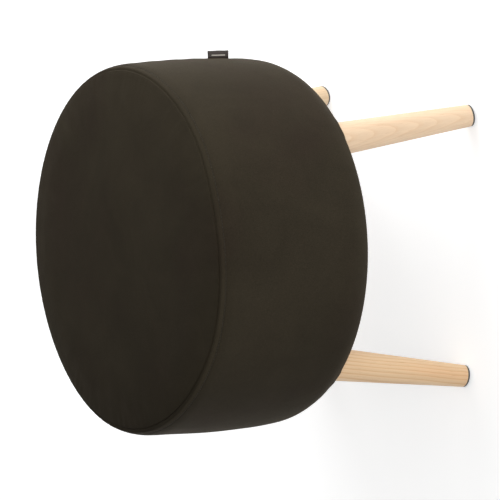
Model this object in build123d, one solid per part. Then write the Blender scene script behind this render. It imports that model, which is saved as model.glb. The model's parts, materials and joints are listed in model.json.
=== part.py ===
from build123d import *
import math
import os

# Round upholstered stool, millimetres. +Z is up, the origin is on the seat's
# axis at floor level, and the front of the stool faces -Y.

# Upholstered drum, outer surface
UNDERSIDE_Z = 183.5
SEAM_Z = 391.2
TOP_Z = 401.2
DRUM_R = 225.0
SEAM_R = 214.5
BELLY_Z = 285.6
SHOULDER_R = 221.7
SHOULDER_Z = 371.2
CROWN_R = 170.0
CROWN_DROP = 2.6
CORNER_R = 212.4
HIP_R = 222.2
HIP_Z = 200.9
CORNER_ROUND = 5.0
HIP_ROUND = 45.0

# Fabric cover
FABRIC = 1.2
HEM_R = 150.0
SEAM_SPLIT_DEG = 56.0
SEAM_ALLOWANCE = 10.0
STITCH_BELOW_SEAM = 7.2
THREAD_R = 0.35
LABEL_AZIMUTH = 3.5
LABEL_LOW_Z = 239.0
LABEL_HIGH_Z = 268.0
LABEL_STICKS_OUT = 7.0
LABEL_THICK = 1.2
DUST_R = 168.0
DUST_THICK = 0.8

# Padding
WADDING_OUT = 2.6
WADDING_IN = 6.6
FOAM_DEPTH = 6.8
SIDE_FOAM_OUT = 1.4
SIDE_FOAM_IN_R = 209.0
SIDE_FOAM_LOW_Z = 191.0
LAYER_GAP = 0.1

# Wooden frame inside the drum
BOARD_R = 205.0
BASE_THICK = 18.0
BASE_EDGE_ROUND = 8.0
SEAT_BOARD_Z = 336.0
SEAT_THICK = 15.0
HOOP_THICK = 3.0
HOOP_LOW_Z = 193.5
POST_COUNT = 6
POST_SIZE = 25.0
POST_AT_R = 180.0

# Fasteners
SCREW_R = 2.0
SCREW_HEAD_R = 4.0
SCREW_HEAD_H = 3.0
SCREW_LENGTH = 45.0
STAPLE_WIDTH = 10.0
STAPLE_WIRE = 0.6
STAPLE_LEG = 8.0
COVER_STAPLES = 48
COVER_STAPLE_R = 161.0
HOOP_STAPLES = 12

# Leg fixing: M8 tee nut and hanger bolt, vertical
STUD_AT_R = 190.4
STUD_R = 4.0
STUD_CLEAR = 0.05
STUD_IN_LEG = 30.0
STUD_TOP_Z = 209.5
STUD_HOLE_R = 5.0
BORE_SPARE = 1.0
NUT_FLANGE_R = 11.0
NUT_FLANGE_H = 1.5
NUT_BARREL_R = 5.0
NUT_BARREL_H = 11.0
PRONG_AT_R = 8.6
PRONG_SIZE = (1.2, 3.0, 7.0)

# Legs
LEG_ENDS_AT_R = 225.5
LEG_TOP_R = 20.2
LEG_END_R = 13.4
LEG_TOP_GAP = 0.2
LEG_TOP_ROUND = 0.8
LEG_END_ROUND = 0.4
GLIDE_THICK = 2.2
GLIDE_ROUND = 0.5
FOOT_TRIM = 0.6
NAIL_R = 0.9
NAIL_HEAD_R = 3.0
NAIL_HEAD_H = 0.8
NAIL_LENGTH = 16.0
LEG_AZIMUTHS = {
    "front_right": -45.0,
    "front_left": -135.0,
    "back_right": 45.0,
    "back_left": 135.0,
}

# Worked out from the above
BASE_Z = UNDERSIDE_Z + FABRIC + LAYER_GAP
BASE_TOP_Z = BASE_Z + BASE_THICK
SEAT_BOARD_TOP_Z = SEAT_BOARD_Z + SEAT_THICK
HOOP_IN_R = BOARD_R + LAYER_GAP
HOOP_OUT_R = HOOP_IN_R + HOOP_THICK
POST_STEP = 360.0 / POST_COUNT
LEG_TOP_Z = UNDERSIDE_Z - LEG_TOP_GAP
BIG = 1000.0
TINY = 0.01
STANDING = (Align.CENTER, Align.CENTER, Align.MIN)


def leg_tilt():
    """Angle of a leg's axis from vertical, with its end disc's low edge trimmed."""
    run = LEG_ENDS_AT_R - STUD_AT_R
    angle = math.atan2(run, UNDERSIDE_Z)
    for _ in range(5):
        end_z = LEG_END_R * math.sin(angle) - FOOT_TRIM
        angle = math.atan2(run, UNDERSIDE_Z - end_z)
    return math.degrees(angle)


LEG_TILT = leg_tilt()
LEG_END_Z = LEG_END_R * math.sin(math.radians(LEG_TILT)) - FOOT_TRIM
LEG_LENGTH = (UNDERSIDE_Z - LEG_END_Z) / math.cos(math.radians(LEG_TILT))


# ---- the drum's section, in a plane with x outwards and y upwards ----


def drum_section():
    """Full section of the drum, both sides of the axis."""
    crown = TangentArc((0, TOP_Z), (CROWN_R, TOP_Z - CROWN_DROP), tangent=(1, 0))
    crown_edge = TangentArc(crown @ 1, (SEAM_R, SEAM_Z), tangent=crown % 1)
    belly = ThreePointArc((SHOULDER_R, SHOULDER_Z), (DRUM_R, BELLY_Z), (HIP_R, HIP_Z))
    shoulder = TangentArc(belly @ 0, crown_edge @ 1, tangent=(belly % 0) * -1)
    corner = (CORNER_R, UNDERSIDE_Z)
    hip = Line(belly @ 1, corner)
    underside = Line(corner, (0, UNDERSIDE_Z))
    axis = Line((0, UNDERSIDE_Z), (0, TOP_Z))
    half = make_face([crown, crown_edge, shoulder, belly, hip, underside, axis])
    low = half.vertices().sort_by(Axis.X)[2:].sort_by(Axis.Y)
    half = fillet(low[0], CORNER_ROUND)
    turned = [v for v in half.vertices() if abs(v.Y - HIP_Z) < TINY]
    half = fillet(turned, HIP_ROUND)
    return half + mirror(half, about=Plane.YZ)


SECTION = drum_section()


def inside(depth):
    """Right half of the section, moved inwards by depth."""
    face = offset(SECTION, -depth, kind=Kind.INTERSECTION) if depth else SECTION
    return face & Pos(BIG / 2, 0) * Rectangle(BIG, 2 * BIG)


def between(low_r, high_r, low_z, high_z):
    """Rectangle of the section plane between two radii and two heights."""
    width = high_r - low_r
    height = high_z - low_z
    return Pos(low_r + width / 2, low_z + height / 2) * Rectangle(width, height)


def above_seam(lift=0.0):
    """Half of the section plane on the top panel's side of the seam."""
    seam = Pos(SEAM_R, SEAM_Z + lift) * Rot(0, 0, SEAM_SPLIT_DEG)
    return seam * Pos(0, BIG / 2) * Rectangle(2 * BIG, BIG)


def turned(face):
    """Solid of revolution of a half section about the drum's axis."""
    return revolve(Plane.XZ * face, Axis.Z)


def around(azimuth, thing):
    """A thing turned about the drum's axis."""
    return Rot(0, 0, azimuth) * thing


# ---- fabric ----


def cover_top():
    """Crowned top panel with its seam allowance turned down inside the band."""
    upper = between(0, BIG, SEAM_Z - SEAM_ALLOWANCE, BIG)
    panel = (inside(0) - inside(FABRIC)) & upper & above_seam()
    allowance = (inside(FABRIC) - inside(2 * FABRIC)) & upper
    allowance -= above_seam(lift=FABRIC)
    return turned(panel + allowance)


def cover_band():
    """Side strip from the seam down and under the base board, with bolt holes."""
    strip = (inside(0) - inside(FABRIC)) - above_seam()
    strip -= between(0, HEM_R, 0, SEAM_Z - SEAM_ALLOWANCE)
    band = turned(strip)
    hole = Pos(STUD_AT_R, 0, UNDERSIDE_Z) * Cylinder(STUD_HOLE_R, 4 * FABRIC)
    for azimuth in LEG_AZIMUTHS.values():
        band -= around(azimuth, hole)
    return band


def topstitch_thread():
    """Thread lying along the band a little below the seam."""
    height = SEAM_Z - STITCH_BELOW_SEAM
    cut = inside(0) & between(CROWN_R, BIG, 0, height)
    edge = cut.vertices().group_by(Axis.Y)[-1].sort_by(Axis.X)[-1]
    clear = THREAD_R + LAYER_GAP
    ring = Pos(edge.X + clear, edge.Y) * Circle(THREAD_R)
    return turned(ring)


def side_label():
    """Folded ribbon that stands out of the band's closing seam."""
    height = LABEL_HIGH_Z - LABEL_LOW_Z
    reach = 2 * LABEL_STICKS_OUT
    middle = DRUM_R + LABEL_STICKS_OUT - reach / 2
    ribbon = Pos(middle, 0, LABEL_LOW_Z + height / 2) * Box(reach, LABEL_THICK, height)
    return around(LABEL_AZIMUTH, ribbon - turned(inside(0)))


def dust_cover():
    """Thin disc that closes the underside inside the legs."""
    middle = UNDERSIDE_Z - LAYER_GAP - DUST_THICK / 2
    return Pos(0, 0, middle) * Cylinder(DUST_R, DUST_THICK)


# ---- padding ----


def seat_wadding():
    """Soft sheet over the seat foam, turned down over its edge."""
    sheet = inside(WADDING_OUT) - inside(WADDING_IN)
    return turned(sheet & between(0, BIG, SEAT_BOARD_TOP_Z + LAYER_GAP, BIG))


def seat_foam():
    """Crowned foam disc on the seat board."""
    core = inside(FOAM_DEPTH)
    return turned(core & between(0, BIG, SEAT_BOARD_TOP_Z + LAYER_GAP, BIG))


def side_foam():
    """Foam strip wrapped round the hoop."""
    core = inside(SIDE_FOAM_OUT)
    strip = between(SIDE_FOAM_IN_R, BIG, SIDE_FOAM_LOW_Z, SEAT_BOARD_TOP_Z)
    return turned(core & strip)


# ---- fasteners ----


def screw():
    """Countersunk wood screw, head face at the origin, pointing along +Z."""
    head = Cone(SCREW_HEAD_R, SCREW_R, SCREW_HEAD_H, align=STANDING)
    shank_length = SCREW_LENGTH - 2 * SCREW_HEAD_H
    shank = Cylinder(SCREW_R, shank_length, align=STANDING)
    tip = Cone(SCREW_R, SCREW_R / 4, 2 * SCREW_HEAD_H, align=STANDING)
    return head + shank + Pos(0, 0, shank_length) * tip


def staple():
    """Wire staple, crown under the origin and along Y, legs pointing along +Z."""
    crown = Pos(0, 0, -STAPLE_WIRE / 2) * Box(STAPLE_WIRE, STAPLE_WIDTH, STAPLE_WIRE)
    leg = Box(STAPLE_WIRE, STAPLE_WIRE, STAPLE_LEG, align=STANDING)
    reach = (STAPLE_WIDTH - STAPLE_WIRE) / 2
    drop = -STAPLE_WIRE / 2
    return crown + Pos(0, reach, drop) * leg + Pos(0, -reach, drop) * leg


def post_screws(azimuth):
    """The two screws of one post: up from the base board, down from the seat board."""
    up = Pos(POST_AT_R, 0, BASE_Z) * screw()
    down = Pos(POST_AT_R, 0, SEAT_BOARD_TOP_Z) * Rot(180, 0, 0) * screw()
    return [around(azimuth, up), around(azimuth, down)]


def frame_screws():
    """All the screws that join the posts to the two boards."""
    screws = []
    for number in range(POST_COUNT):
        screws += post_screws(number * POST_STEP)
    return screws


def cover_staples():
    """Ring of staples through the dust cover and the band's hem."""
    one = Pos(COVER_STAPLE_R, 0, UNDERSIDE_Z - LAYER_GAP - DUST_THICK) * staple()
    step = 360.0 / COVER_STAPLES
    return [around((number + 0.5) * step, one) for number in range(COVER_STAPLES)]


def hoop_staples():
    """Two rings of staples that hold the hoop to the boards' edges."""
    heights = (BASE_TOP_Z - BASE_EDGE_ROUND / 2, SEAT_BOARD_Z + SEAT_THICK / 2)
    step = 360.0 / HOOP_STAPLES
    staples = []
    for height in heights:
        one = Pos(HOOP_OUT_R, 0, height) * Rot(0, -90, 0) * staple()
        for number in range(HOOP_STAPLES):
            staples.append(around((number + 0.5) * step, one))
    return staples


def tee_nut():
    """Tee nut for one leg, flange on the base board's top, in the plane y = 0."""
    flange = Cylinder(NUT_FLANGE_R, NUT_FLANGE_H, align=STANDING)
    barrel = Pos(0, 0, -NUT_BARREL_H) * Cylinder(NUT_BARREL_R, NUT_BARREL_H, align=STANDING)
    nut = flange + barrel
    prong = Pos(PRONG_AT_R, 0, -PRONG_SIZE[2] / 2) * Box(*PRONG_SIZE)
    for azimuth in LEG_AZIMUTHS.values():
        nut += around(azimuth, prong)
    nut -= Cylinder(STUD_R + STUD_CLEAR, BIG)
    return Pos(STUD_AT_R, 0, BASE_TOP_Z) * nut


def leg_stud():
    """Hanger bolt of one leg, in the plane y = 0."""
    low = UNDERSIDE_Z - STUD_IN_LEG
    length = STUD_TOP_Z - low
    bolt = Cylinder(STUD_R, length, align=STANDING)
    rims = bolt.edges().filter_by(GeomType.CIRCLE)
    return Pos(STUD_AT_R, 0, low) * chamfer(rims, STUD_R / 4)


# ---- wooden frame ----


def base_board():
    """Lower plywood disc with its lower edge rounded, screw and tee nut holes."""
    disc = Pos(0, 0, BASE_Z) * Cylinder(BOARD_R, BASE_THICK, align=STANDING)
    disc = fillet(disc.edges().sort_by(Axis.Z)[0], BASE_EDGE_ROUND)
    hole = Pos(STUD_AT_R, 0, BASE_Z) * Cylinder(NUT_BARREL_R, 2 * BASE_THICK)
    nut = tee_nut()
    for azimuth in LEG_AZIMUTHS.values():
        disc -= around(azimuth, hole)
        disc -= around(azimuth, nut)
    for number in range(POST_COUNT):
        disc -= post_screws(number * POST_STEP)[0]
    return disc


def seat_board():
    """Upper plywood disc that carries the seat foam."""
    disc = Pos(0, 0, SEAT_BOARD_Z) * Cylinder(BOARD_R, SEAT_THICK, align=STANDING)
    for number in range(POST_COUNT):
        disc -= post_screws(number * POST_STEP)[1]
    return disc


def side_hoop():
    """Thin hardboard wall bent round the edges of both boards."""
    wall = between(HOOP_IN_R, HOOP_OUT_R, HOOP_LOW_Z, SEAT_BOARD_TOP_Z)
    return turned(wall)


def frame_post(azimuth):
    """Square post between the two boards."""
    height = SEAT_BOARD_Z - BASE_TOP_Z
    block = Box(POST_SIZE, POST_SIZE, height, align=STANDING)
    post = around(azimuth, Pos(POST_AT_R, 0, BASE_TOP_Z) * block)
    for fastener in post_screws(azimuth):
        post -= fastener
    return post


# ---- legs, built in the plane y = 0 with their end outwards ----


def leg_frame():
    """Place of a leg's end disc, with +Z up along the leg."""
    return Pos(LEG_ENDS_AT_R, 0, LEG_END_Z) * Rot(0, -LEG_TILT, 0)


def glide_nail():
    """Nail through the glide into the leg's end."""
    head = Cylinder(NAIL_HEAD_R, NAIL_HEAD_H, align=STANDING)
    shank = Cylinder(NAIL_R, NAIL_LENGTH, align=STANDING)
    return leg_frame() * Pos(0, 0, NAIL_HEAD_H) * (head + shank)


def leg_glide():
    """Round glide on the leg's end, its low edge worn flat on the floor."""
    disc = Cylinder(LEG_END_R, GLIDE_THICK, align=STANDING)
    disc = fillet(disc.edges().sort_by(Axis.Z)[0], GLIDE_ROUND)
    disc -= Cylinder(NAIL_HEAD_R, 2 * NAIL_HEAD_H)
    placed = leg_frame() * disc - glide_nail()
    return placed - Pos(0, 0, -BIG / 2) * Box(BIG, BIG, BIG)


def leg():
    """Tapered leg, cut level at the top, bored for its bolt and its nail."""
    slope = (LEG_TOP_R - LEG_END_R) / LEG_LENGTH
    low_r = LEG_END_R + slope * GLIDE_THICK
    length = LEG_LENGTH - GLIDE_THICK + LEG_TOP_R
    high_r = low_r + slope * length
    taper = Cone(low_r, high_r, length, align=STANDING)
    wood = leg_frame() * Pos(0, 0, GLIDE_THICK) * taper
    wood -= Pos(0, 0, LEG_TOP_Z + BIG / 2) * Box(BIG, BIG, BIG)
    wood = fillet(wood.edges().sort_by(Axis.Z)[-1], LEG_TOP_ROUND)
    wood = fillet(wood.edges().sort_by(Axis.Z)[0], LEG_END_ROUND)
    depth = STUD_IN_LEG + BORE_SPARE
    bore = Cylinder(STUD_R + STUD_CLEAR, 2 * depth)
    return wood - Pos(STUD_AT_R, 0, UNDERSIDE_Z) * bore - glide_nail()


# ---- write the files ----


def save(name, thing):
    """One STEP file for one node, a list being a group of separate solids."""
    if isinstance(thing, list):
        thing = Compound(children=[solid for one in thing for solid in one.solids()])
    else:
        thing = Compound(children=thing.solids())
    export_step(thing, f"parts/{name}.step")


def main():
    """Build every node of the stool."""
    os.makedirs("parts", exist_ok=True)
    save("cover_top", cover_top())
    save("cover_band", cover_band())
    save("topstitch_thread", topstitch_thread())
    save("side_label", side_label())
    save("dust_cover", dust_cover())
    save("seat_wadding", seat_wadding())
    save("seat_foam", seat_foam())
    save("side_foam", side_foam())
    save("seat_board", seat_board())
    save("base_board", base_board())
    save("side_hoop", side_hoop())
    save("frame_screws", frame_screws())
    save("cover_staples", cover_staples())
    save("hoop_staples", hoop_staples())
    for number in range(POST_COUNT):
        save(f"frame_post_{number + 1}", frame_post(number * POST_STEP))
    for place, azimuth in LEG_AZIMUTHS.items():
        save(f"tee_nut_{place}", around(azimuth, tee_nut()))
        save(f"leg_stud_{place}", around(azimuth, leg_stud()))
        save(f"leg_{place}", around(azimuth, leg()))
        save(f"leg_glide_{place}", around(azimuth, leg_glide()))
        save(f"glide_nail_{place}", around(azimuth, glide_nail()))


main()
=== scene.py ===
import bpy
import json
import math
import numpy as np
from mathutils import Matrix, Vector
from mathutils.bvhtree import BVHTree


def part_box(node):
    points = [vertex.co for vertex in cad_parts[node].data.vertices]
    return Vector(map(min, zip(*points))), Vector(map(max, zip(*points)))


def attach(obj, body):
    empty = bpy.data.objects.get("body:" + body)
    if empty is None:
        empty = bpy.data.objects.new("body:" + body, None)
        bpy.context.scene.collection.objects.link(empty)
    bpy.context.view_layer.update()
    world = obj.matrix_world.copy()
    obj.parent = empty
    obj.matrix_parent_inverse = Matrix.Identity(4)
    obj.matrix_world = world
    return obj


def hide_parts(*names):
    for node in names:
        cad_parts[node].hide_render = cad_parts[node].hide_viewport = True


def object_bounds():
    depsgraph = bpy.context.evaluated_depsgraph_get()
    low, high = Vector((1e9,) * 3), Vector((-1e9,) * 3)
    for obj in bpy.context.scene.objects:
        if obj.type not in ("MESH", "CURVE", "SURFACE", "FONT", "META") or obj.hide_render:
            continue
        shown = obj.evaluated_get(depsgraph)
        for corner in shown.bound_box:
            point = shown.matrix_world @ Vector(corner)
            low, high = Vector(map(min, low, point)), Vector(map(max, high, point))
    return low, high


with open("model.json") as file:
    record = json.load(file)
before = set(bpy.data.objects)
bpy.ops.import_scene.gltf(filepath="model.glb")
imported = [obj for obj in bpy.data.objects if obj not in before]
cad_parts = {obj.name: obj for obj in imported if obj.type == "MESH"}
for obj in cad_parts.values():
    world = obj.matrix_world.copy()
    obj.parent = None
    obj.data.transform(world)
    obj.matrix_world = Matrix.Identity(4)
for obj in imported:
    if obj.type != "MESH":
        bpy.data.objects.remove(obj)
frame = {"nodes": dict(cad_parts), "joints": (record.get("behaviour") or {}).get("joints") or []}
cad_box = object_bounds()

# Looks of a round upholstered stool, in metres. +Z is up, and the seat's axis is the Z axis.

MM = 0.001
PLACES = ("front_right", "front_left", "back_right", "back_left")

# Camera: its place round the stool and above it, and how it was turned and aimed
CAMERA_AZIMUTH = 8.03
CAMERA_ELEVATION = 31.67
CAMERA_ROLL = -93.63
CAMERA_DISTANCE = 4.458
CAMERA_LENS = 265.3
CAMERA_TARGET_Z = 0.2846
AIM_RIGHT = 0.0601
AIM_UP = -0.0062

# Lights: place, width and power of each softbox, the room light's level and how it changes with
# direction, and the floor's own glow
LIGHTS = {
    "key": ((1.30, 0.50, 0.90), 1.2, 14),
    "fill": ((0.25, -2.3, 1.55), 1.2, 11),
    "overhead": ((1.3, 0.1, 1.5), 0.9, 2),
}
ROOM_LEVEL = 0.80
ROOM_SLOPE = (0.46, -0.06, -0.48)
FLOOR_GLOW = 0.54

# Cover: points round it, how deep its plain inner faces lie, and where its innermost ring of
# points lies, which a fan of triangles closes
SEGMENTS = 516
INNER_DEPTH = 2.5 * MM
HEM_INNER_DEPTH = 1.15 * MM
INNERMOST = 2 * MM

# Seam between top panel and band: how far the cover is drawn in at it, swells beside it and
# puckers along it, and how uneven it is elsewhere
SEAM_DEPTH = 1.5 * MM
TUCK_WIDTH = 0.5 * MM
SHOULDER = 1.1 * MM
SHOULDER_WIDTH = 14 * MM
BAND_SEAM_DEPTH = 2.0 * MM
BAND_SEAM_WIDTH = 1.3 * MM
BAND_SHOULDER = 1.9 * MM
BAND_SHOULDER_WIDTH = 17 * MM
TOP_PUCKER = 0.16 * MM
TOP_PUCKER_REACH = 15 * MM
BAND_PUCKER = 0.13 * MM
BAND_PUCKER_REACH = 12 * MM
UNEVENNESS = 0.2 * MM

# Where the seam isn't sewn level: azimuth and width of each place in degrees, and how far it
# runs high or low there; then how much of that goes up and how much goes in
WANDERS = ((-73, 19, 2.8 * MM), (-114, 13, -1.6 * MM), (90, 45, 0.7 * MM), (150, 26, -1.6 * MM))
WANDER_REACH = 30 * MM
WANDER_UP = 0.65
WANDER_IN = 0.75

# Raised strip between the seam and the topstitching, how much its painted highlight lightens
# the cloth there, and the stitches
RIDGE = 0.25 * MM
RIDGE_LINE = 3.6 * MM
RIDGE_WIDTH = 2.2 * MM
RIDGE_PAINTED_HIGHLIGHT = 1.24
STITCH_LINE = 7.6 * MM
STITCH_GROOVE = 0.35 * MM
STITCH_GROOVE_WIDTH = 0.9 * MM
STITCH_PITCH = 4.0 * MM
STITCH_LENGTH = 3.1 * MM
STITCH_R = 0.42 * MM

# Band: broad bulge across from the label, its azimuth and width in degrees. Then the closing
# seam: the reach on each side of it where the points lie closer together, how deep it is drawn
# in between its two soft edges, and its puckers
FAR_BULGE = 1.8 * MM
FAR_BULGE_AZIMUTH = 180
FAR_BULGE_WIDTH = 36
CLOSING_AZIMUTH = math.radians(3.5)
CLOSING_REACH = 7 * MM
CLOSING_POINTS = 29
CLOSING_DEPTH = 0.9 * MM
CLOSING_WIDTH = 0.9 * MM
CLOSING_EDGE = 0.3 * MM
CLOSING_EDGE_OFF = 3.4 * MM
CLOSING_EDGE_WIDTH = 2.2 * MM
CLOSING_PUCKER = 0.18 * MM
CLOSING_PUCKER_LENGTH = 31 * MM
CLOSING_PUCKER_REACH = 16 * MM

# Underside: pleats round the hem, the low ridge round each leg top, and the dust cloth
HEM_R = 150 * MM
PLEATS = 58
PLEAT_DEPTH = 0.75 * MM
PLEATED_TO = 207 * MM
LEG_TOP_R = 20 * MM
LEG_RIDGE = 0.8 * MM
DUST_HEM = 12 * MM
DUST_STAPLES = 48
DUST_STAPLE_R = 161 * MM
DUST_THICKNESS = 0.3 * MM
DUST_EDGE = 0.25 * MM
DUST_SAG = 0.275 * MM
DUST_SCALLOP = 0.18 * MM

# Cloth simulation of the cover, blown up from inside by its padding, and how it is measured
SLACK_SEGMENTS = 144
VOXEL = 6 * MM
TOP_SLACK = 8.9 * MM
TOP_SLACK_R = 190 * MM
BAND_SLACK = 0.9 * MM
HELD_NEAR_SEAM = 4 * MM
PADDING_PRESSURE = 4.0
CLOTH_STIFFNESS = 25
CLOTH_BENDING = 2
GROWTH = 0.004
SIM_FRAMES = 20
EVEN_SHARE = 0.1
MOST_SWELL = 1.5 * MM
PROBE_DEPTH = 20 * MM
PROBE_RINGS = 96
PROBE_ANGLES = 240

# Side label: how far it stands out and reaches in, its ribbon, and the stripe on it
LABEL_OUT = 9.5 * MM
LABEL_IN = 1.5 * MM
LABEL_LAYER = 0.4 * MM
STRIPE_HALF_LENGTH = 9.5 * MM
STRIPE_HALF_WIDTH = 0.75 * MM
STRIPE_OUT = 3.9 * MM

# Wood grain: the wave texture's scale times the gap between its rings, in metres. Then for each
# leg its pith, the gap between its rings, their contrast, its share of heartwood, and its tone
WAVE_PER_RING = 0.314
GRAINS = {
    "front_right": ((143, 0.046, -0.035), 2.1 * MM, 0.8, 0.0, (0.84, 0.625, 0.425)),
    "front_left": ((150, 0.085, 0.012), 4.4 * MM, 1.9, 0.9, (0.80, 0.56, 0.335)),
    "back_right": ((20, 0.060, 0.020), 2.6 * MM, 1.0, 0.3, (0.77, 0.60, 0.40)),
    "back_left": ((-60, 0.070, -0.025), 3.2 * MM, 1.3, 0.5, (0.83, 0.63, 0.41)),
}

# Hanger bolts: their thread, how many rings of points one turn of it takes, and how much thinner
# the blunt ends are
THREAD_PITCH = 1.25 * MM
THREAD_DEPTH = 0.68 * MM
THREAD_RINGS = 7
BLUNTING = 0.6 * MM

rng = np.random.default_rng(11)


# ---- small helpers ----


def smoothstep(low, high, x):
    """Smooth rise from 0 at low to 1 at high."""
    t = np.clip((x - low) / (high - low), 0.0, 1.0)
    return t * t * (3 - 2 * t)


def bell(x, centre, width):
    """Bell curve of height 1."""
    return np.exp(-(((x - centre) / width) ** 2))


def ripple(angle, low, high, count):
    """Irregular wave round a circle, made of count whole-numbered waves."""
    waves = rng.integers(low, high, count)
    phases = rng.uniform(0, 2 * np.pi, count)
    total = sum(np.sin(n * angle + p) for n, p in zip(waves, phases))
    return total / math.sqrt(count)


def swell(points, short, long, count=9):
    """Soft unevenness in space, made of plane waves between two wavelengths."""
    total = np.zeros(points.shape[:-1])
    for _ in range(count):
        way = rng.normal(size=3)
        way /= np.linalg.norm(way)
        length = rng.uniform(short, long)
        total += np.sin(points @ way * (2 * np.pi / length) + rng.uniform(0, 2 * np.pi))
    return total / math.sqrt(count)


def mesh_object(name, points, faces, material):
    """New smooth-shaded mesh object in the scene."""
    mesh = bpy.data.meshes.new(name)
    mesh.from_pydata([tuple(p) for p in points], [], faces)
    if material:
        mesh.materials.append(material)
    mesh.polygons.foreach_set("use_smooth", [True] * len(mesh.polygons))
    mesh.update()
    piece = bpy.data.objects.new(name, mesh)
    bpy.context.scene.collection.objects.link(piece)
    return piece


def grid_faces(rings, segments):
    """Quads between neighbouring rings of points, closed round each ring."""
    faces = []
    for i in range(rings - 1):
        low = i * segments
        high = low + segments
        for k in range(segments):
            n = (k + 1) % segments
            faces.append((low + k, high + k, high + n, low + n))
    return faces


def fan_faces(ring_start, segments, centre, outwards):
    """Triangles from one ring to a centre point."""
    faces = []
    for k in range(segments):
        a, b = ring_start + k, ring_start + (k + 1) % segments
        faces.append((a, b, centre) if outwards else (b, a, centre))
    return faces


def node_points(node):
    """All the points of a CAD node, as an array."""
    return np.array([v.co for v in frame["nodes"][node].data.vertices])


def dress(piece, body, slot, *nodes):
    """Says which body a new piece rides on, and the CAD nodes it stands for; slot is not used."""
    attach(piece, body)
    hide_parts(*nodes)
    return piece


def joint_place(place):
    """Where a leg's bolt meets the underside."""
    joint = next(j for j in frame["joints"] if j["name"] == f"{place}_unscrew")
    return Vector(joint["pos_m"])


# ---- materials ----


class Look:
    """A node material, built up from small steps."""

    def __init__(self, name, **shader):
        self.material = bpy.data.materials.new(name)
        self.material.use_nodes = True
        self.tree = self.material.node_tree
        self.shader = self.tree.nodes["Principled BSDF"]
        for socket, value in shader.items():
            self.shader.inputs[socket.replace("_", " ")].default_value = value

    def add(self, kind, inputs=None, **settings):
        """One node; inputs are values or other nodes' outputs. Returns its first output."""
        node = self.tree.nodes.new(kind)
        for setting, value in settings.items():
            setattr(node, setting, value)
        for socket, value in (inputs or {}).items():
            if isinstance(value, bpy.types.NodeSocket):
                self.tree.links.new(value, node.inputs[socket])
            else:
                node.inputs[socket].default_value = value
        return node.outputs[0]

    def coords(self, **mapping):
        """Place on the object, moved, turned or stretched if asked."""
        texture = self.tree.nodes.new("ShaderNodeTexCoord")
        place = texture.outputs["Object"]
        if not mapping:
            return place
        kind = mapping.pop("kind", "POINT")
        return self.add("ShaderNodeMapping", {"Vector": place, **mapping}, vector_type=kind)

    def noise(self, place, scale, detail=3.0, roughness=0.5, distortion=0.0):
        """Smooth noise from 0 to 1, scale in bumps per metre."""
        inputs = {"Vector": place, "Scale": scale, "Detail": detail}
        inputs.update({"Roughness": roughness, "Distortion": distortion})
        return self.add("ShaderNodeTexNoise", inputs)

    def ramp(self, factor, *stops):
        """Colour ramp; stops are (place, colour or grey)."""
        node = self.tree.nodes.new("ShaderNodeValToRGB")
        marks = node.color_ramp.elements
        while len(marks) < len(stops):
            marks.new(0.5)
        for mark, (place, colour) in zip(marks, stops):
            grey = not hasattr(colour, "__len__")
            mark.position = place
            mark.color = (colour,) * 3 + (1,) if grey else (*colour, 1)
        self.tree.links.new(factor, node.inputs["Fac"])
        return node.outputs["Color"]

    def mix(self, factor, a, b, blend="MIX"):
        """Mixes two colours."""
        node = self.tree.nodes.new("ShaderNodeMix")
        node.data_type = "RGBA"
        node.blend_type = blend
        for socket, value in ((0, factor), (6, a), (7, b)):
            if isinstance(value, bpy.types.NodeSocket):
                self.tree.links.new(value, node.inputs[socket])
            else:
                node.inputs[socket].default_value = value
        return node.outputs[2]

    def maths(self, operation, a, b=0.0):
        """Arithmetic on two values."""
        return self.add("ShaderNodeMath", {0: a, 1: b}, operation=operation)

    def set(self, socket, value):
        """Links a node's output to the shader."""
        self.tree.links.new(value, self.shader.inputs[socket])

    def relief(self, *layers):
        """Bump from (height, distance in metres) layers, one on the other."""
        normal = None
        for height, distance in layers:
            inputs = {"Height": height, "Distance": distance, "Strength": 1.0}
            if normal is not None:
                inputs["Normal"] = normal
            normal = self.add("ShaderNodeBump", inputs)
        self.set("Normal", normal)


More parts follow.
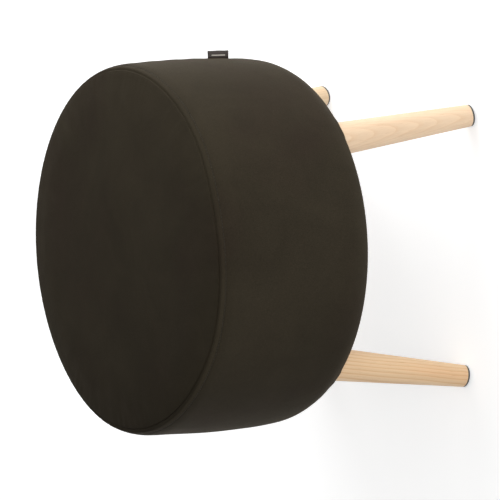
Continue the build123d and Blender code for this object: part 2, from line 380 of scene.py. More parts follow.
def velour():
    """Dark brown short-pile cover cloth, brushed this way and that.

    Its colour has painted light: it is made lighter towards +X, the key light's and the label's
    side, and painted shade darkens it towards -X. Across from the label the strip between the
    seam and the topstitching gets a painted highlight.
    """
    look = Look("velour", Roughness=0.8, Sheen_Weight=0.06, Sheen_Roughness=0.3)
    look.shader.inputs["Sheen Tint"].default_value = (0.90, 0.74, 0.52, 1)
    look.shader.inputs["Specular IOR Level"].default_value = 0.06
    place = look.coords()
    brushed = look.noise(place, 6.0, 3.0, 0.5, 0.6)
    tone = look.ramp(brushed, (0.32, (0.0268, 0.0200, 0.0133)), (0.50, (0.0280, 0.0224, 0.0141)),
                     (0.70, (0.0310, 0.0250, 0.0158)))
    shading = look.noise(look.coords(Location=(3.0, 1.0, 2.0)), 13.0, 4.0, 0.55, 1.2)
    tone = look.mix(1.0, tone, look.ramp(shading, (0.30, 0.91), (0.70, 1.09)), "MULTIPLY")
    across, _, up = look.add("ShaderNodeSeparateXYZ", {0: place}).node.outputs
    # painted light and shade: the cloth is made lighter towards +X, the key light's side, and
    # darker towards -X
    painted_light_across = look.maths("ADD", look.maths("MULTIPLY", across, 2.0), 0.5)
    tone = look.mix(1.0, tone, look.ramp(painted_light_across, (0.05, 0.84), (0.95, 1.16)), "MULTIPLY")
    # painted highlight: the strip between the seam and the topstitching is made lighter, only
    # across from the label
    below_seam = look.maths("DIVIDE", look.maths("SUBTRACT", SEAM_Z, up), STITCH_LINE)
    raised = look.ramp(below_seam, (0.05, 1.0), (0.25, RIDGE_PAINTED_HIGHLIGHT), (0.70, RIDGE_PAINTED_HIGHLIGHT), (0.90, 1.0))
    tone = look.mix(look.ramp(painted_light_across, (0.40, 1.0), (0.75, 0.0)), tone, raised, "MULTIPLY")
    fibres = look.noise(look.coords(Scale=(1.0, 1.0, 0.35)), 1500.0, 2.0, 0.6)
    flecked = look.ramp(fibres, (0.30, 0.80), (0.70, 1.18))
    look.set("Base Color", look.mix(1.0, tone, flecked, "MULTIPLY"))
    pile = look.noise(place, 900.0, 3.0, 0.65)
    strokes = look.noise(place, 55.0, 3.0, 0.5)
    look.relief((strokes, 0.30 * MM), (pile, 0.20 * MM))
    return look.material


def thread_look():
    """Twisted polyester sewing thread."""
    look = Look("sewing_thread", Roughness=0.6, Sheen_Weight=0.05)
    look.shader.inputs["Specular IOR Level"].default_value = 0.2
    twist = look.add("ShaderNodeTexWave", {"Vector": look.coords(Rotation=(0.5, 0.4, 0.6)),
                                           "Scale": 420.0, "Distortion": 1.0})
    dark, light = (0.018, 0.0143, 0.0098), (0.034, 0.0275, 0.0185)
    look.set("Base Color", look.ramp(twist, (0.1, dark), (0.9, light)))
    look.relief((twist, 0.08 * MM))
    return look.material


def ribbon_look(middle, axis_turn):
    """Woven satin ribbon with one plain cream stripe."""
    look = Look("label_ribbon", Roughness=0.45, Sheen_Weight=0.15)
    place = look.coords(kind="TEXTURE", Location=tuple(middle), Rotation=(0, 0, axis_turn))
    ribs = look.add("ShaderNodeTexWave", {"Vector": place, "Scale": 260.0, "Distortion": 0.4},
                    bands_direction="Z")
    picks = look.add("ShaderNodeTexWave", {"Vector": place, "Scale": 420.0, "Distortion": 0.4},
                     bands_direction="X")
    weave = look.mix(0.5, ribs, picks)
    ground = look.ramp(weave, (0.2, (0.020, 0.012, 0.009)), (0.8, (0.050, 0.032, 0.024)))
    out, _, up = look.add("ShaderNodeSeparateXYZ", {0: place}).node.outputs
    off_stripe = look.maths("ABSOLUTE", look.maths("SUBTRACT", out, STRIPE_OUT))
    within_length = look.maths("LESS_THAN", look.maths("ABSOLUTE", up), STRIPE_HALF_LENGTH)
    within_width = look.maths("LESS_THAN", off_stripe, STRIPE_HALF_WIDTH)
    stripe = look.maths("MULTIPLY", within_length, within_width)
    cream = look.ramp(weave, (0.2, (0.30, 0.27, 0.23)), (0.8, (0.66, 0.62, 0.55)))
    look.set("Base Color", look.mix(stripe, ground, cream))
    look.relief((weave, 0.06 * MM))
    return look.material


def beech_look(name, foot, turn, pith, rings_apart, contrast, heartwood, tone):
    """Clear-lacquered beech.

    The pith is (side it lies on in degrees, distance from the leg, lean), so the growth rings
    show as straight lines on some sides and as nested arches on others. Contrast says how dark
    the late wood is, and heartwood how much of the pink heartwood shows.
    """
    look = Look(name, Roughness=0.45, Coat_Weight=0.04, Coat_Roughness=0.35)
    leg = look.coords(kind="TEXTURE", Location=tuple(foot), Rotation=tuple(turn))
    side, distance, lean = pith
    turned = look.add("ShaderNodeMapping", {"Vector": leg, "Rotation": (0, 0, -math.radians(side))})
    board = look.add("ShaderNodeMapping", {"Vector": turned, "Location": (-distance, 0, 0),
                                           "Rotation": (0, lean, 0)})
    waves = {"Vector": board, "Scale": WAVE_PER_RING / rings_apart, "Distortion": 2.6}
    waves.update({"Detail": 2.0, "Detail Scale": 0.22, "Detail Roughness": 0.45})
    rings = look.add("ShaderNodeTexWave", waves, wave_type="RINGS", rings_direction="Z",
                     wave_profile="SAW")
    stretched = look.add("ShaderNodeMapping", {"Vector": leg, "Scale": (1.0, 1.0, 0.05)})
    fibres = look.noise(stretched, 1100.0, 3.0, 0.6)
    streaks = look.noise(stretched, 210.0, 4.0, 0.6)
    early = tuple(0.96 * c for c in tone)
    late = tuple(c * (1 - contrast * t) for c, t in zip(tone, (0.07, 0.125, 0.19)))
    wood = look.ramp(rings, (0.05, tone), (0.62, early), (0.93, late), (1.0, tone))
    streak = look.ramp(streaks, (0.32, (0.94, 0.905, 0.87)), (0.62, (1.0, 1.0, 1.0)))
    wood = look.mix(1.0, wood, streak, "MULTIPLY")
    if heartwood:
        skewed = look.add("ShaderNodeMapping", {"Vector": turned, "Rotation": (0.0, 0.0, 0.5),
                                                "Scale": (1.0, 1.0, 0.14)})
        band = look.noise(skewed, 42.0, 1.0, 0.4)
        pink = look.ramp(band, (0.56, (1.0, 1.0, 1.0)), (0.68, (1.0, 0.93, 0.88)))
        wood = look.mix(heartwood, wood, pink, "MULTIPLY")
    flecks = look.ramp(fibres, (0.24, (0.72, 0.60, 0.48)), (0.40, (1.0, 1.0, 1.0)))
    wood = look.mix(0.65, wood, flecks, "MULTIPLY")
    look.set("Base Color", wood)
    look.set("Roughness", look.ramp(streaks, (0.2, 0.52), (0.8, 0.43)))
    look.relief((fibres, 0.03 * MM))
    return look.material


def plain_wood(name, dark, light, stretch, roughness=0.7):
    """Unfinished wood or board, hidden inside the seat."""
    look = Look(name, Roughness=roughness)
    place = look.coords(Scale=stretch)
    grain = look.noise(place, 90.0, 4.0, 0.6, 0.6)
    look.set("Base Color", look.ramp(grain, (0.3, dark), (0.7, light)))
    look.relief((grain, 0.15 * MM))
    return look.material


def plastic_look():
    """Moulded dark grey plastic, scuffed all over."""
    look = Look("glide_plastic", Roughness=0.55)
    place = look.coords()
    scuffs = look.noise(place, 420.0, 4.0, 0.7)
    dark, light = (0.030, 0.030, 0.032), (0.085, 0.083, 0.080)
    look.set("Base Color", look.ramp(scuffs, (0.35, dark), (0.72, light)))
    look.set("Roughness", look.ramp(scuffs, (0.3, 0.42), (0.7, 0.68)))
    look.relief((look.noise(place, 1800.0, 2.0), 0.05 * MM))
    return look.material


def zinc_look():
    """Bright zinc-plated steel with faint tarnish."""
    look = Look("zinc_steel", Metallic=1.0, Roughness=0.32)
    place = look.coords()
    tarnish = look.noise(place, 160.0, 4.0, 0.65)
    dull, bright = (0.50, 0.49, 0.46), (0.68, 0.68, 0.67)
    look.set("Base Color", look.ramp(tarnish, (0.35, dull), (0.65, bright)))
    look.set("Roughness", look.ramp(look.noise(place, 700.0, 3.0), (0.3, 0.25), (0.7, 0.42)))
    return look.material


def nonwoven_look():
    """Black spun dust cloth with its grid of pressed dots."""
    look = Look("dust_cloth", Roughness=0.9, Sheen_Weight=0.08)
    place = look.coords(Rotation=(0, 0, math.radians(45)))
    dots = look.add("ShaderNodeTexVoronoi", {"Vector": place, "Scale": 520.0, "Randomness": 0.12},
                    voronoi_dimensions="2D")
    web = look.noise(look.coords(), 620.0, 5.0, 0.75, 1.5)
    tone = look.ramp(web, (0.30, (0.006, 0.006, 0.0065)), (0.70, (0.022, 0.022, 0.023)))
    pressed = look.ramp(dots, (0.10, 1.45), (0.40, 0.9))
    look.set("Base Color", look.mix(1.0, tone, pressed, "MULTIPLY"))
    look.relief((look.ramp(dots, (0.1, 0.0), (0.45, 1.0)), 0.12 * MM), (web, 0.08 * MM))
    return look.material


def foam_look(name, dark, light, scale):
    """Open-celled foam or fluffy wadding."""
    look = Look(name, Roughness=1.0, Sheen_Weight=0.1)
    cells = look.noise(look.coords(), scale, 5.0, 0.75)
    look.set("Base Color", look.ramp(cells, (0.3, dark), (0.7, light)))
    look.relief((cells, 0.4 * MM))
    return look.material


# ---- the drum's outline ----


def bell_round(angles, azimuth, width):
    """Bell curve round the drum, both in degrees."""
    away = (np.degrees(angles) - azimuth + 180) % 360 - 180
    return bell(away, 0, width)


def let_wander(points, angles, s):
    """Moves the cover near its seam, which isn't sewn quite level.

    A seam that runs high moves up and inwards, a low one down and out.
    """
    shift = sum(size * bell_round(angles, azimuth, width) for azimuth, width, size in WANDERS)
    shift = shift * bell(s, 0, WANDER_REACH)
    points[..., 2] += WANDER_UP * shift
    radius = np.hypot(points[..., 0], points[..., 1])
    points[..., :2] *= (1 - WANDER_IN * shift / radius)[..., None]


def hull_outline():
    """Outline of the drum's section: radius and height from the crown down to the underside."""
    points = np.vstack([node_points("cover_top"), node_points("cover_band")])
    section = np.c_[np.hypot(points[:, 0], points[:, 1]), points[:, 2]]
    section = np.unique(section.round(5), axis=0)
    outline = [np.array([0.0, section[:, 1].max()])]
    heading = np.array([1.0, 0.0])
    while outline[-1][1] > section[:, 1].min() + 0.01 * MM:
        steps = section - outline[-1]
        length = np.hypot(steps[:, 0], steps[:, 1])
        cross = heading[0] * steps[:, 1] - heading[1] * steps[:, 0]
        turn = np.arctan2(-cross, steps @ heading) % (2 * np.pi)
        # rounding makes a whole turn no turn, and the point itself comes last
        turn = np.where(length > 0.01 * MM, turn.round(4) % 6.283, np.inf)
        nearest = np.lexsort((-length, turn))[0]
        heading = steps[nearest] / length[nearest]
        outline.append(section[nearest])
    return np.array(outline + [[HEM_R, outline[-1][1]]])


def path_length(path):
    """Length of a path of straight steps."""
    return float(np.hypot(*np.diff(path, axis=0).T).sum())


def along(path, distances):
    """Points and outward normals of a smooth path, at distances from its start."""
    chord = np.r_[0, np.cumsum(np.hypot(*np.diff(path, axis=0).T))]
    slope = np.gradient(path, chord, axis=0)
    i = np.clip(np.searchsorted(chord, distances) - 1, 0, len(chord) - 2)
    gap = (chord[i + 1] - chord[i])[:, None]
    t = (distances - chord[i])[:, None] / gap
    a, b = path[i], path[i + 1]
    m, n = slope[i] * gap, slope[i + 1] * gap
    point = a * (1 + t * t * (2 * t - 3)) + b * t * t * (3 - 2 * t)
    point += m * t * (1 - t) ** 2 - n * t * t * (1 - t)
    tangent = (b - a) * 6 * t * (1 - t) + m * (1 - t) * (1 - 3 * t) - n * t * (2 - 3 * t)
    tangent /= np.hypot(tangent[:, 0], tangent[:, 1])[:, None]
    return point, np.c_[-tangent[:, 1], tangent[:, 0]]


def spread(length, fine, near, coarse):
    """Distances from 0 to length: fine steps at first, then wider and wider ones."""
    places = [0.0]
    step = fine
    while places[-1] + 1.5 * step < length:
        places.append(places[-1] + step)
        if places[-1] > near:
            step = min(coarse, step * 1.2)
    return np.array(places + [length])


def ring_angles():
    """Angles round the drum, closer together at the band's closing seam."""
    even = np.arange(SEGMENTS) * (2 * np.pi / SEGMENTS)
    close = np.linspace(-CLOSING_REACH, CLOSING_REACH, CLOSING_POINTS) / cad_box[1].y
    close = CLOSING_AZIMUTH + close
    even = even[(even < close[0] - 0.005) | (even > close[-1] + 0.005)]
    return np.sort(np.r_[even, close])


OUTLINE = hull_outline()
CORNER = int(np.argmin(abs(OUTLINE[:, 1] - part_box("cover_band")[1].z)))
TOP_PATH = OUTLINE[: CORNER + 1][::-1]
BAND_PATH = OUTLINE[CORNER:]
UNDERSIDE_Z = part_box("cover_band")[0].z
SEAM_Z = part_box("cover_band")[1].z
DRUM_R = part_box("cover_band")[1].y


def revolved(section, normals, lift, angles):
    """Points of a section turned round the axis, each moved out by lift[ring, segment]."""
    radius = section[:, :1] + normals[:, :1] * lift
    height = section[:, 1:] + normals[:, 1:] * lift
    x, y = radius * np.cos(angles), radius * np.sin(angles)
    return np.stack(np.broadcast_arrays(x, y, height), axis=-1)


# ---- the cover, swollen by cloth simulation ----


def slack_drum():
    """Closed drum a little inside its outline, remeshed evenly for the simulation."""
    distance = np.linspace(INNERMOST, path_length(OUTLINE), 90)
    section, normals = along(OUTLINE, distance)
    past_seam = distance - path_length(TOP_PATH)
    raised = smoothstep(UNDERSIDE_Z + 2 * MM, UNDERSIDE_Z + 30 * MM, section[:, 1])
    inset = BAND_SLACK * smoothstep(0, 30 * MM, past_seam) * raised
    inset += TOP_SLACK * np.clip(1 - (distance / TOP_SLACK_R) ** 2, 0, 1) * (past_seam < 0)
    angles = np.arange(SLACK_SEGMENTS) * (2 * np.pi / SLACK_SEGMENTS)
    rings = revolved(section, normals, -inset[:, None], angles)
    points = np.vstack([rings.reshape(-1, 3), rings[0].mean(axis=0), [0, 0, UNDERSIDE_Z]])
    last_ring = (len(rings) - 1) * SLACK_SEGMENTS
    faces = grid_faces(len(rings), SLACK_SEGMENTS)
    faces += fan_faces(0, SLACK_SEGMENTS, len(points) - 2, False)
    faces += fan_faces(last_ring, SLACK_SEGMENTS, len(points) - 1, True)
    drum = mesh_object("slack_drum", points, faces, None)
    remesh = drum.modifiers.new("even", "REMESH")
    remesh.mode = "VOXEL"
    remesh.voxel_size = VOXEL
    evaluated = drum.evaluated_get(bpy.context.evaluated_depsgraph_get())
    even = bpy.data.meshes.new_from_object(evaluated)
    drum.modifiers.clear()
    drum.data = even
    return drum


def hold(drum):
    """Vertex group that holds the seam and the underside still."""
    points = np.array([v.co for v in drum.data.vertices])
    radius = np.hypot(points[:, 0], points[:, 1])
    seam_r, seam_z = OUTLINE[CORNER]
    at_seam = np.hypot(radius - seam_r, points[:, 2] - seam_z) < HELD_NEAR_SEAM
    under = points[:, 2] < UNDERSIDE_Z + 2 * MM
    group = drum.vertex_groups.new(name="held")
    group.add([int(i) for i in np.where(at_seam | under)[0]], 1.0, "REPLACE")


def swollen_drum():
    """The slack drum after its padding has pressed it out."""
    drum = slack_drum()
    hold(drum)
    cloth = drum.modifiers.new("cloth", "CLOTH")
    settings = cloth.settings
    settings.vertex_group_mass = "held"
    settings.use_pressure = True
    settings.uniform_pressure_force = PADDING_PRESSURE
    settings.shrink_min = -GROWTH
    settings.tension_stiffness = CLOTH_STIFFNESS
    settings.compression_stiffness = CLOTH_STIFFNESS
    settings.bending_stiffness = CLOTH_BENDING
    settings.effector_weights.gravity = 0
    cloth.collision_settings.use_collision = False
    cloth.point_cache.frame_end = SIM_FRAMES
    scene = bpy.context.scene
    for frame_number in range(1, SIM_FRAMES + 1):
        scene.frame_set(frame_number)
    result = drum.evaluated_get(bpy.context.evaluated_depsgraph_get()).to_mesh()
    points = [v.co.copy() for v in result.vertices]
    faces = [tuple(f.vertices) for f in result.polygons]
    scene.frame_set(1)
    bpy.data.objects.remove(drum)
    return BVHTree.FromPolygons(points, faces)


def smoothed(grid, rounds):
    """Grid of values evened out with its neighbours, closed round the drum."""
    for _ in range(rounds):
        grid = (np.roll(grid, 1, axis=1) + 2 * grid + np.roll(grid, -1, axis=1)) / 4
        padded = np.vstack([grid[:1], grid, grid[-1:]])
        grid = (padded[:-2] + 2 * grid + padded[2:]) / 4
    return grid


def measured_swell():
    """How far the swollen drum stands off the outline: (distances, angles, values).

    The foam holds the even part of the swell back to a small share, and its unevenness stays.
    """
    distance = np.linspace(2 * MM, path_length(OUTLINE) - 2 * MM, PROBE_RINGS)
    angles = np.arange(PROBE_ANGLES) * (2 * np.pi / PROBE_ANGLES)
    tree = swollen_drum()
    section, normals = along(OUTLINE, distance)
    start = revolved(section, normals, np.full((PROBE_RINGS, 1), -PROBE_DEPTH), angles)
    ways = revolved(normals, normals, np.zeros((PROBE_RINGS, 1)), angles)
    stand_off = np.zeros((PROBE_RINGS, PROBE_ANGLES))
    for i in range(PROBE_RINGS):
        for k in range(PROBE_ANGLES):
            hit = tree.ray_cast(Vector(start[i, k]), Vector(ways[i, k]), 3 * PROBE_DEPTH)
            stand_off[i, k] = hit[3] - PROBE_DEPTH if hit[3] else 0.0
    stand_off = smoothed(stand_off, 3)
    even = stand_off.mean(axis=1)[:, None]
    swell_left = stand_off - (1 - EVEN_SHARE) * even
    return distance, angles, np.clip(swell_left, -MOST_SWELL, MOST_SWELL)


def swell_at(distance, angles):
    """The measured swell on a finer grid of rings and angles."""
    rings, around, values = SWELL
    turns = np.r_[around, 2 * np.pi]
    closed = np.hstack([values, values[:, :1]])
    rows = np.array([np.interp(angles, turns, row) for row in closed])
    return np.array([np.interp(distance, rings, column) for column in rows.T]).T


# ---- the cover ----


def top_panel(material):
    """Crowned top panel, drawn in at the seam, with a plain inner face."""
    angles = ring_angles()
    count = len(angles)
    distance = spread(path_length(TOP_PATH) - INNERMOST, 0.4 * MM, 7 * MM, 5 * MM)
    section, normals = along(TOP_PATH, distance)
    normals = -normals
    s = distance[:, None]
    rest = revolved(section, normals, np.zeros((len(s), 1)), angles)
    puckers = ripple(angles, 40, 150, 12) * np.exp(-s / TOP_PUCKER_REACH)
    puckers = puckers * smoothstep(0, 3 * MM, s)
    lift = SHOULDER * bell(s, 0, SHOULDER_WIDTH) - SEAM_DEPTH * bell(s, 0, TUCK_WIDTH)
    lift = lift + TOP_PUCKER * puckers
    lift += swell_at(path_length(TOP_PATH) - distance, angles) * smoothstep(0, 12 * MM, s)
    lift += UNEVENNESS * swell(rest, 0.09, 0.25) * smoothstep(0, 40 * MM, s)
    outer = revolved(section, normals, lift, angles)
    let_wander(outer, angles, s)
    back = spread(path_length(TOP_PATH) - INNERMOST, 5 * MM, 30 * MM, 20 * MM)
    inner_section, inner_normals = along(TOP_PATH, back)
    inner = revolved(inner_section, inner_normals, np.full((len(back), 1), INNER_DEPTH), angles)
    rings = np.concatenate([outer[::-1], inner])
    points = np.vstack([rings.reshape(-1, 3), outer[-1].mean(axis=0), inner[-1].mean(axis=0)])
    total = len(rings)
    faces = grid_faces(total, count)
    faces += fan_faces(0, count, total * count, True)
    faces += fan_faces((total - 1) * count, count, total * count + 1, False)
    return mesh_object("seat_top_panel", points, faces, material)


def near_legs(points, radius, soft):
    """1 far from every leg top, 0 within radius of one."""
    clear = np.ones(points.shape[:-1])
    for place in PLACES:
        centre = joint_place(place)
        gap = np.hypot(points[..., 0] - centre.x, points[..., 1] - centre.y)
        clear *= smoothstep(radius, radius + soft, gap)
    return clear


def band_lift(s, angles, rest):
    """How far the side band stands off its plain outline."""
    radius = np.hypot(rest[..., 0], rest[..., 1])
    height = rest[..., 2]
    side = smoothstep(UNDERSIDE_Z, UNDERSIDE_Z + 20 * MM, height)
    # the seam, the ridge below it and the groove of the topstitching
    lift = BAND_SHOULDER * bell(s, 0, BAND_SHOULDER_WIDTH)
    lift = lift - BAND_SEAM_DEPTH * bell(s, 0, BAND_SEAM_WIDTH)
    lift = lift + RIDGE * bell(s, RIDGE_LINE, RIDGE_WIDTH)
    lift = lift - STITCH_GROOVE * bell(s, STITCH_LINE, STITCH_GROOVE_WIDTH)
    # the bulge across from the label, puckers at the seam, and the padding's swell
    above_hip = smoothstep(UNDERSIDE_Z + 20 * MM, UNDERSIDE_Z + 60 * MM, height)
    lift = lift + FAR_BULGE * bell_round(angles, FAR_BULGE_AZIMUTH, FAR_BULGE_WIDTH) * above_hip
    puckers = ripple(angles, 60, 170, 14) * np.exp(-s / BAND_PUCKER_REACH)
    lift = lift + BAND_PUCKER * (puckers * smoothstep(0, 4 * MM, s))
    padding = swell_at(path_length(TOP_PATH) + s[:, 0], angles)
    lift = lift + padding * side * smoothstep(9 * MM, 22 * MM, s)
    lift = lift + UNEVENNESS * swell(rest, 0.07, 0.22) * side * smoothstep(8 * MM, 40 * MM, s)
    # the closing seam under the label, drawn in between two soft edges, and its puckers
    off_seam = ((angles - CLOSING_AZIMUTH + np.pi) % (2 * np.pi) - np.pi) * radius
    groove = CLOSING_EDGE * bell(abs(off_seam), CLOSING_EDGE_OFF, CLOSING_EDGE_WIDTH)
    groove = groove - CLOSING_DEPTH * bell(off_seam, 0, CLOSING_WIDTH)
    drawn = CLOSING_PUCKER * np.sin(height * (2 * np.pi / CLOSING_PUCKER_LENGTH))
    drawn = drawn * bell(off_seam, 0, CLOSING_PUCKER_REACH)
    lift = lift + (groove + drawn * side) * smoothstep(0, 3 * MM, s)
    # the pleats under the hem, and the low ridge that each leg top presses up round it
    folds = ripple(angles, PLEATS - 14, PLEATS + 14, 7)
    folds = -np.clip(0.5 + 0.55 * folds, 0, 1.15)
    gathered = (1 - smoothstep(HEM_R + 12 * MM, PLEATED_TO, radius)) * (1 - side)
    lift = lift + PLEAT_DEPTH * folds * gathered * near_legs(rest, LEG_TOP_R, 7 * MM)
    pressed = 1 - near_legs(rest, LEG_TOP_R + 3.5 * MM, 4.5 * MM)
    ring = pressed * near_legs(rest, LEG_TOP_R + 0.4 * MM, 2.4 * MM)
    ring = ring * smoothstep(172 * MM, 178 * MM, radius)
    return lift + LEG_RIDGE * ring * (1 - side)


def side_band(material):
    """Side band from the seam down and under the seat, with its inner face.

    Returns it with the line on it that the topstitching follows.
    """
    angles = ring_angles()
    count = len(angles)
    length = path_length(BAND_PATH)
    distance = spread(length, 0.55 * MM, 13 * MM, 4.2 * MM)
    section, normals = along(BAND_PATH, distance)
    rest = revolved(section, normals, np.zeros((len(distance), 1)), angles)
    outer = revolved(section, normals, band_lift(distance[:, None], angles, rest), angles)
    let_wander(outer, angles, distance[:, None])
    below = int(np.searchsorted(distance, STITCH_LINE))
    share = (STITCH_LINE - distance[below - 1]) / (distance[below] - distance[below - 1])
    line = (1 - share) * outer[below - 1] + share * outer[below]
    back = spread(length, 6 * MM, 20 * MM, 16 * MM)
    inner_section, inner_normals = along(BAND_PATH, back)
    at_hem = inner_section[:, 1] < UNDERSIDE_Z + 1 * MM
    depth = np.where(at_hem, HEM_INNER_DEPTH, INNER_DEPTH)[:, None]
    inner = revolved(inner_section, inner_normals, -depth, angles)
    rings = np.concatenate([outer, inner[::-1]])
    points = rings.reshape(-1, 3)
    total = len(rings)
    faces = grid_faces(total, count)
    last = (total - 1) * count
    for k in range(count):
        n = (k + 1) % count
        faces.append((last + k, k, n, last + n))
    return mesh_object("side_band", points, faces, material), line


def stitches(line, material):
    """Row of topstitches along a line round the band, each one dipping in at both ends."""
    out = along(BAND_PATH, np.array([STITCH_LINE]))[1][0]
    angles = ring_angles()
    radii = np.hypot(line[:, 0], line[:, 1])
    count = round(2 * np.pi * radii.mean() / STITCH_PITCH)
    sides, stations = 6, np.linspace(-0.5, 0.5, 6)
    points, faces = [], []
    for number in range(count):
        start = len(points)
        middle = 2 * np.pi * number / count
        slant = rng.normal(0, 0.05)
        for t in stations:
            angle = middle + t * STITCH_LENGTH / radii[0]
            radius = np.interp(angle, angles, radii, period=2 * np.pi)
            height = np.interp(angle, angles, line[:, 2], period=2 * np.pi)
            dive = (0.75 - 4.8 * t * t) * STITCH_R
            thick = STITCH_R * (1 - 1.1 * t * t)
            for side in range(sides):
                turn = 2 * np.pi * side / sides
                u = dive + thick * math.cos(turn)
                v = thick * math.sin(turn) + slant * t * STITCH_LENGTH
                r = radius + out[0] * u - out[1] * v
                z = height + out[1] * u + out[0] * v
                points.append((r * math.cos(angle), r * math.sin(angle), z))
        for i in range(len(stations) - 1):
            for side in range(sides):
                a = start + i * sides + side
                b = start + i * sides + (side + 1) % sides
                faces.append((a, a + sides, b + sides, b))
        faces.append(tuple(start + side for side in range(sides)))
        last = start + (len(stations) - 1) * sides
        faces.append(tuple(last + side for side in reversed(range(sides))))
    return mesh_object("topstitching", points, faces, material)


def label_outline():
    """Closed section of the folded ribbon: outwards, and across."""
    half = 1.35 * LABEL_LAYER
    inner = half - LABEL_LAYER
    nose = LABEL_OUT - half
    turns = np.linspace(np.pi / 2, -np.pi / 2, 9)
    outside = [(-LABEL_IN, half), (0.3 * nose, half * 1.05), (0.7 * nose, half * 1.1)]
    outside += [(nose + half * math.cos(a), half * math.sin(a)) for a in turns]
    outside += [(0.7 * nose, -half * 1.1), (0.3 * nose, -half * 1.05), (-LABEL_IN, -half)]
    inside = [(-LABEL_IN, -inner), (0.5 * nose, -inner)]
    inside += [(nose + inner * math.cos(a), inner * math.sin(a)) for a in turns[::-1]]
    inside += [(0.5 * nose, inner), (-LABEL_IN, inner)]
    return np.array(outside + inside)


def label_ribbon():
    """Folded ribbon label standing out of the closing seam."""
    low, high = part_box("side_label")
    middle = (low.z + high.z) / 2
    outline = label_outline()
    heights = np.linspace(low.z, high.z, 24)
    base = DRUM_R - 0.4 * MM
    turned = Matrix.Rotation(CLOSING_AZIMUTH, 4, "Z")
    points = []
    for z in heights:
        t = (z - middle) / (high.z - low.z)
        for u, w in outline:
            lean = 0.5 * MM * math.sin(2.4 * t + 0.4) * (max(u, 0) / LABEL_OUT) ** 2
            curl = 0.12 * MM * math.cos(9 * t)
            points.append(turned @ Vector((base + u + curl * (u > 4 * MM), w + lean, z)))
    count = len(outline)
    faces = grid_faces(len(heights), count)
    faces.append(tuple(range(count)))
    faces.append(tuple(reversed(range(len(points) - count, len(points)))))
    centre = turned @ Vector((base, 0, middle))
    return mesh_object("label_ribbon", points, faces, ribbon_look(centre, CLOSING_AZIMUTH))


# ---- underside ----


def dust_cloth(material):
    """Thin cloth disc under the seat, dimpled at its staples, with a turned edge."""
    low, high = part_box("dust_cover")
    reach = high.x
    hem = reach - DUST_HEM
    count = 240
    angles = np.arange(count) * (2 * np.pi / count)
    radii = np.linspace(INNERMOST, hem - 2 * MM, 34)
    radii = np.r_[radii, np.linspace(hem - 1 * MM, reach, 14)]
    r = radii[:, None]
    x, y = r * np.cos(angles), r * np.sin(angles)
    flat = np.stack(np.broadcast_arrays(x, y, 0 * r), axis=-1)
    loose = 1 - smoothstep(reach - 30 * MM, reach - 8 * MM, r)
    sag = DUST_SAG * swell(flat, 0.05, 0.16) * loose
    scallop = DUST_SCALLOP * np.cos(angles * DUST_STAPLES) * bell(r, DUST_STAPLE_R, 5 * MM)
    edge = DUST_EDGE * smoothstep(hem - 0.5 * MM, hem + 0.5 * MM, r)
    z = low.z + 0.35 * MM - edge + sag + scallop
    lower = np.stack([x, y, z], axis=-1)
    upper = np.stack([x, y, z + DUST_THICKNESS + edge], axis=-1)
    rings = np.concatenate([lower, upper[::-1]])
    points = np.vstack([rings.reshape(-1, 3), lower[0].mean(axis=0), upper[0].mean(axis=0)])
    total = len(rings)
    faces = [tuple(reversed(f)) for f in grid_faces(total, count)]
    faces += fan_faces(0, count, total * count, False)
    faces += fan_faces((total - 1) * count, count, total * count + 1, True)
    return mesh_object("dust_cloth", points, faces, material)


# ---- hanger bolts ----


def threaded_bolt(place, material):
    """Bolt with a rolled thread along its whole length and blunt ends."""
    centre = joint_place(place)
    low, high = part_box(f"leg_stud_{place}")
    major = (high.x - low.x) / 2
    sides = 24
    rings = int((high.z - low.z) / THREAD_PITCH * THREAD_RINGS)
    heights = np.linspace(low.z, high.z, rings)
    angles = np.arange(sides) * (2 * np.pi / sides)
    phase = heights[:, None] / THREAD_PITCH - angles / (2 * np.pi)
    ridge = np.abs((phase % 1.0) - 0.5) * 2
    ends = smoothstep(0, 2 * MM, np.minimum(heights - low.z, high.z - heights))[:, None]
    radius = major - THREAD_DEPTH * (1 - smoothstep(0.1, 0.9, ridge)) * ends
    radius = radius - BLUNTING * (1 - ends)
    x = centre.x + radius * np.cos(angles)
    y = centre.y + radius * np.sin(angles)
    z = np.broadcast_to(heights[:, None], x.shape)
    points = np.stack([x, y, z], axis=-1).reshape(-1, 3)
    faces = [tuple(reversed(f)) for f in grid_faces(rings, sides)]
    faces.append(tuple(reversed(range(sides))))
    faces.append(tuple(range((rings - 1) * sides, rings * sides)))
    return mesh_object(f"hanger_bolt_{place}", points, faces, material)


# ---- stage, lights and camera ----


def floor():
    """Wide pale floor, clear from below, lit a little from within so shadows stay soft."""
    reach = 60.0
    corners = [(-reach, -reach, 0), (reach, -reach, 0), (reach, reach, 0), (-reach, reach, 0)]
    look = Look("floor_paper", Roughness=0.9)
    look.shader.inputs["Base Color"].default_value = (0.86, 0.86, 0.86, 1)
    look.shader.inputs["Emission Color"].default_value = (1, 1, 1, 1)
    look.shader.inputs["Emission Strength"].default_value = FLOOR_GLOW
    tree = look.tree
    geometry = tree.nodes.new("ShaderNodeNewGeometry")
    clear = tree.nodes.new("ShaderNodeBsdfTransparent")
    mixed = tree.nodes.new("ShaderNodeMixShader")
    tree.links.new(geometry.outputs["Backfacing"], mixed.inputs[0])
    tree.links.new(look.shader.outputs[0], mixed.inputs[1])
    tree.links.new(clear.outputs[0], mixed.inputs[2])
    tree.links.new(mixed.outputs[0], tree.nodes["Material Output"].inputs["Surface"])
    paper = mesh_object("floor_paper", corners, [(0, 1, 2, 3)], look.material)


def softbox(name, place, target, size, power):
    """Square area light that faces a point."""
    light = bpy.data.lights.new(name, "AREA")
    light.size = size
    light.energy = power
    lamp = bpy.data.objects.new(name, light)
    lamp.location = place
    lamp.visible_camera = False
    lamp.rotation_euler = (Vector(target) - Vector(place)).to_track_quat("-Z", "Y").to_euler()
    bpy.context.scene.collection.objects.link(lamp)


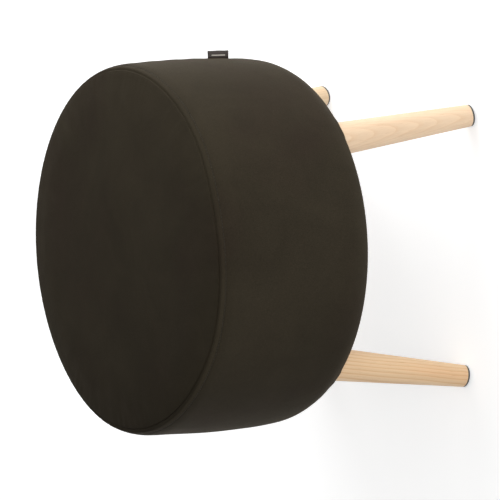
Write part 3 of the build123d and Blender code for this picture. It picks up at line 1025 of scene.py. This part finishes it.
def room_light():
    """Soft room light: brighter on the key light's side, dimmer overhead and behind it."""
    world = bpy.data.worlds.new("studio")
    bpy.context.scene.world = world
    world.use_nodes = True
    tree = world.node_tree
    texture = tree.nodes.new("ShaderNodeTexCoord")
    slope = tree.nodes.new("ShaderNodeVectorMath")
    slope.operation = "DOT_PRODUCT"
    slope.inputs[1].default_value = ROOM_SLOPE
    ramp = tree.nodes.new("ShaderNodeMapRange")
    ramp.inputs["From Min"].default_value = -1.0
    ramp.inputs["To Min"].default_value = ROOM_LEVEL - 1.0
    ramp.inputs["To Max"].default_value = ROOM_LEVEL + 1.0
    tree.links.new(texture.outputs["Generated"], slope.inputs[0])
    tree.links.new(slope.outputs["Value"], ramp.inputs["Value"])
    tree.links.new(ramp.outputs["Result"], tree.nodes["Background"].inputs["Strength"])
    tree.nodes["Background"].inputs["Color"].default_value = (1, 1, 1, 1)


def studio():
    """Soft white room light and three softboxes: beside the stool, before it and above it."""
    room_light()
    middle = (0, 0, CAMERA_TARGET_Z)
    for name, (place, size, power) in LIGHTS.items():
        softbox(name, place, middle, size, power)
    bpy.context.scene.view_settings.view_transform = "Standard"


def camera():
    """Camera beside and above the stool, turned on its side."""
    azimuth, elevation = math.radians(CAMERA_AZIMUTH), math.radians(CAMERA_ELEVATION)
    roll = math.radians(CAMERA_ROLL)
    level_back = Vector((math.sin(azimuth), -math.cos(azimuth), 0))
    back = level_back * math.cos(elevation) + Vector((0, 0, math.sin(elevation)))
    level = (-back).cross(Vector((0, 0, 1))).normalized()
    upright = level.cross(-back)
    right = math.cos(roll) * level + math.sin(roll) * upright
    up = math.cos(roll) * upright - math.sin(roll) * level
    middle = Vector((0, 0, CAMERA_TARGET_Z))
    eye = middle + back * CAMERA_DISTANCE
    forward = (middle + right * AIM_RIGHT + up * AIM_UP - eye).normalized()
    right = (right - right.dot(forward) * forward).normalized()
    up = right.cross(forward)
    lens = bpy.data.cameras.new("camera")
    lens.lens = CAMERA_LENS
    lens.sensor_width = 36.0
    lens.clip_end = 200.0
    view = bpy.data.objects.new("camera", lens)
    turned = Matrix((right, up, -forward)).transposed().to_4x4()
    view.matrix_world = Matrix.Translation(eye) @ turned
    bpy.context.scene.collection.objects.link(view)
    bpy.context.scene.camera = view


# ---- put together ----


def leg_turn(place):
    """A leg's foot, and the turn that takes +Z up along the leg and +X outwards."""
    low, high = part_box(f"leg_glide_{place}")
    foot = (low + high) / 2
    up = (joint_place(place) - foot).normalized()
    out = Vector((foot.x, foot.y, 0))
    out = (out - out.dot(up) * up).normalized()
    return foot, Matrix((out, up.cross(out), up)).transposed().to_euler()


def paint_nodes():
    """Materials for the CAD nodes that show as they are."""
    nodes = frame["nodes"]
    zinc, plastic = zinc_look(), plastic_look()
    pine = plain_wood("pine", (0.50, 0.33, 0.17), (0.72, 0.53, 0.31), (1, 1, 0.12))
    ply = plain_wood("plywood", (0.46, 0.32, 0.18), (0.64, 0.48, 0.30), (0.25, 1, 1))
    hardboard = plain_wood("hardboard", (0.13, 0.07, 0.035), (0.22, 0.12, 0.06), (1, 1, 1), 0.6)
    foam = foam_look("foam", (0.66, 0.60, 0.40), (0.85, 0.80, 0.60), 900.0)
    wadding = foam_look("wadding", (0.70, 0.70, 0.68), (0.88, 0.88, 0.87), 350.0)
    looks = {"frame_screws": zinc, "cover_staples": zinc, "hoop_staples": zinc, "seat_board": ply,
             "base_board": ply, "side_hoop": hardboard, "seat_foam": foam, "side_foam": foam,
             "seat_wadding": wadding}
    looks.update({name: pine for name in nodes if name.startswith("frame_post")})
    for place in PLACES:
        foot, turn = leg_turn(place)
        looks[f"leg_{place}"] = beech_look(f"beech_{place}", foot, turn, *GRAINS[place])
        looks[f"leg_glide_{place}"] = plastic
        looks[f"glide_nail_{place}"] = zinc
        looks[f"tee_nut_{place}"] = zinc
    for name, look in looks.items():
        mesh = nodes[name].data
        mesh.materials.clear()
        mesh.materials.append(look)


camera()
SWELL = measured_swell()
cloth = velour()
top = dress(top_panel(cloth), "seat", "upholstery", "cover_top")
band, stitch_line = side_band(cloth)
dress(band, "seat", "upholstery", "cover_band")
dress(stitches(stitch_line, thread_look()), "seat", "thread", "topstitch_thread")
dress(label_ribbon(), "seat", "label_ribbon", "side_label")
dust = dress(dust_cloth(nonwoven_look()), "seat", "dust_cloth", "dust_cover")
bolt_look = zinc_look()
for place in PLACES:
    dress(threaded_bolt(place, bolt_look), f"{place}_bolt", "zinc_steel", f"leg_stud_{place}")
paint_nodes()
floor()
studio()
